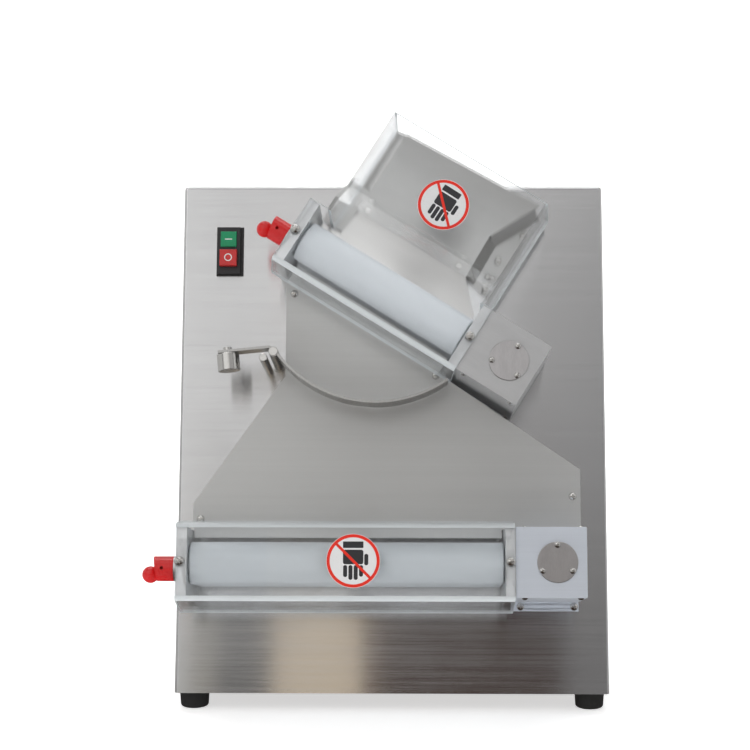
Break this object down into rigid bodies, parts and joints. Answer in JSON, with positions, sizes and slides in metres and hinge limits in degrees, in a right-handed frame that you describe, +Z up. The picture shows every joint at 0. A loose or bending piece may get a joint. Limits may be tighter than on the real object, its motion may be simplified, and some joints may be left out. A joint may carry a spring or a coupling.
{
  "type": "dough sheeter",
  "caption": "Free-standing two-stage dough sheeter: leaning stainless cabinet, tilted hopper unit above, chute with swinging arc, wide roller unit below.",
  "frame": {"origin": "centre of the footprint box, on the floor", "axes": "+Z up, -Y towards the user whom the leaning face looks at, +X to the right along the lower rollers"},
  "size_m": [0.448, 0.4094, 0.5825],
  "materials": {
    "stainless": "horizontal brushed",
    "bright_steel": "polished",
    "aluminium": "satin anodised",
    "white_plastic": "turned acetal",
    "clear_plastic": "clear polycarbonate sheet",
    "red_plastic": "moulded",
    "green_plastic": "moulded",
    "black_plastic": "moulded",
    "foot_rubber": "moulded",
    "belt_rubber": "moulded",
    "motor_paint": "semi-gloss",
    "sign_white": "printed film"
  },
  "bodies": {
    "cabinet": {"body_shell": "stainless", "base_plate": "stainless", "feet": "foot_rubber", "rear_cover": "stainless", "power_inlet": "black_plastic", "chute_plate": "stainless", "standoffs": "bright_steel", "panel_screws": "bright_steel", "pivot_post": "bright_steel", "stop_post": "bright_steel", "switch_frame": "black_plastic", "hopper_plate": "stainless", "hopper_ramp": "stainless", "motor": "motor_paint", "motor_plate": "stainless", "lower_belt": "belt_rubber", "upper_belt": "belt_rubber", "block_screws": "bright_steel", "sign_discs": "sign_white", "lower_left_block": "aluminium", "lower_right_block": "aluminium", "lower_gearbox_housing": "stainless", "lower_gearbox_door": "stainless", "lower_round_lid": "stainless", "lower_small_screws": "bright_steel", "lower_guard": "clear_plastic", "lower_guard_screws": "bright_steel", "upper_left_block": "aluminium", "upper_right_block": "aluminium", "upper_gearbox_housing": "stainless", "upper_gearbox_door": "stainless", "upper_round_lid": "stainless", "upper_small_screws": "bright_steel", "upper_guard": "clear_plastic", "upper_guard_screws": "bright_steel"},
    "pendulum": {"pendulum": "stainless", "counterweight": "bright_steel"},
    "start_button": {"start_button": "green_plastic"},
    "stop_button": {"stop_button": "red_plastic"},
    "motor_pulley": {"motor_pulley": "aluminium"},
    "lower_rear_roller": {"lower_rear_roller": "white_plastic", "lower_rear_gears": "bright_steel"},
    "lower_drive_shaft": {"lower_drive_shaft": "bright_steel"},
    "lower_carriage": {"lower_bearing_carriers": "white_plastic"},
    "lower_front_roller": {"lower_front_roller": "white_plastic", "lower_front_gear": "bright_steel"},
    "lower_gap_knob": {"lower_gap_knob": "red_plastic", "lower_eccentric_shaft": "bright_steel"},
    "lower_pull_pin": {"lower_pull_pin": "red_plastic"},
    "upper_rear_roller": {"upper_rear_roller": "white_plastic", "upper_rear_gears": "bright_steel"},
    "upper_drive_shaft": {"upper_drive_shaft": "bright_steel"},
    "upper_carriage": {"upper_bearing_carriers": "white_plastic"},
    "upper_front_roller": {"upper_front_roller": "white_plastic", "upper_front_gear": "bright_steel"},
    "upper_gap_knob": {"upper_gap_knob": "red_plastic", "upper_eccentric_shaft": "bright_steel"},
    "upper_pull_pin": {"upper_pull_pin": "red_plastic"}
  },
  "joints": [
    {"name": "pendulum_swing", "type": "hinge", "parent": "cabinet", "child": "pendulum", "pos_m": [-0.1016, -0.11021, 0.34837], "axis": [0, -0.9659, 0.2588], "range_deg": [-57, 0]},
    {"name": "start_press", "type": "slide", "parent": "cabinet", "child": "start_button", "axis": [0, 0.9659, -0.2588], "range_m": [0, 0.003], "stiffness_N_per_m": 700, "springref_m": -0.002},
    {"name": "stop_press", "type": "slide", "parent": "cabinet", "child": "stop_button", "axis": [0, 0.9659, -0.2588], "range_m": [0, 0.003], "stiffness_N_per_m": 700, "springref_m": -0.002},
    {"name": "motor_spin", "type": "hinge", "parent": "cabinet", "child": "motor_pulley", "pos_m": [0.032, -0.04759, 0.20342], "axis": [0, -0.9659, 0.2588], "continuous": true},
    {"name": "lower_rear_spin", "type": "hinge", "parent": "cabinet", "child": "lower_rear_roller", "pos_m": [-0.03, -0.12477, 0.14335], "axis": [1, 0, 0], "continuous": true},
    {"name": "lower_drive_spin", "type": "hinge", "parent": "cabinet", "child": "lower_drive_shaft", "pos_m": [0.1674, -0.09675, 0.13584], "axis": [0, -0.9659, 0.2588], "continuous": true},
    {"name": "lower_gap_turn", "type": "hinge", "parent": "cabinet", "child": "lower_gap_knob", "pos_m": [-0.189, -0.16767, 0.14936], "axis": [1, 0, 0], "range_deg": [-22, 22]},
    {"name": "lower_gap_slide", "type": "slide", "parent": "cabinet", "child": "lower_carriage", "axis": [0, -0.9659, 0.2588], "range_m": [-0.00198, 0.00198]},
    {"name": "lower_front_spin", "type": "hinge", "parent": "lower_carriage", "child": "lower_front_roller", "pos_m": [-0.03, -0.1663, 0.15448], "axis": [1, 0, 0], "continuous": true},
    {"name": "lower_pin_pull", "type": "slide", "parent": "lower_gap_knob", "child": "lower_pull_pin", "axis": [-1, 0, 0], "range_m": [0, 0.004], "stiffness_N_per_m": 900, "springref_m": -0.003},
    {"name": "upper_rear_spin", "type": "hinge", "parent": "cabinet", "child": "upper_rear_roller", "pos_m": [0.00362, -0.05612, 0.39955], "axis": [0.848, -0.1372, -0.5119], "continuous": true},
    {"name": "upper_drive_spin", "type": "hinge", "parent": "cabinet", "child": "upper_drive_shaft", "pos_m": [0.12333, -0.04747, 0.31979], "axis": [0, -0.9659, 0.2588], "continuous": true},
    {"name": "upper_gap_turn", "type": "hinge", "parent": "cabinet", "child": "upper_gap_knob", "pos_m": [-0.08632, -0.08472, 0.45893], "axis": [0.848, -0.1372, -0.5119], "range_deg": [-22, 22]},
    {"name": "upper_gap_slide", "type": "slide", "parent": "cabinet", "child": "upper_carriage", "axis": [0, -0.9659, 0.2588], "range_m": [-0.00198, 0.00198]},
    {"name": "upper_front_spin", "type": "hinge", "parent": "upper_carriage", "child": "upper_front_roller", "pos_m": [0.00362, -0.09765, 0.41068], "axis": [0.848, -0.1372, -0.5119], "continuous": true},
    {"name": "upper_pin_pull", "type": "slide", "parent": "upper_gap_knob", "child": "upper_pull_pin", "axis": [-0.848, 0.1372, 0.5119], "range_m": [0, 0.004], "stiffness_N_per_m": 900, "springref_m": -0.003}
  ],
  "couplings": [
    {"joint": "lower_gap_turn", "follows": "lower_gap_slide", "rad_per_m": 193.42},
    {"joint": "upper_gap_turn", "follows": "upper_gap_slide", "rad_per_m": 193.42},
    {"joint": "lower_front_spin", "follows": "lower_rear_spin", "ratio": -1},
    {"joint": "lower_drive_spin", "follows": "lower_rear_spin", "ratio": -1},
    {"joint": "motor_spin", "follows": "lower_rear_spin", "ratio": -1.5},
    {"joint": "upper_drive_spin", "follows": "lower_rear_spin", "ratio": -1},
    {"joint": "upper_rear_spin", "follows": "lower_rear_spin", "ratio": 1},
    {"joint": "upper_front_spin", "follows": "lower_rear_spin", "ratio": -1}
  ]
}
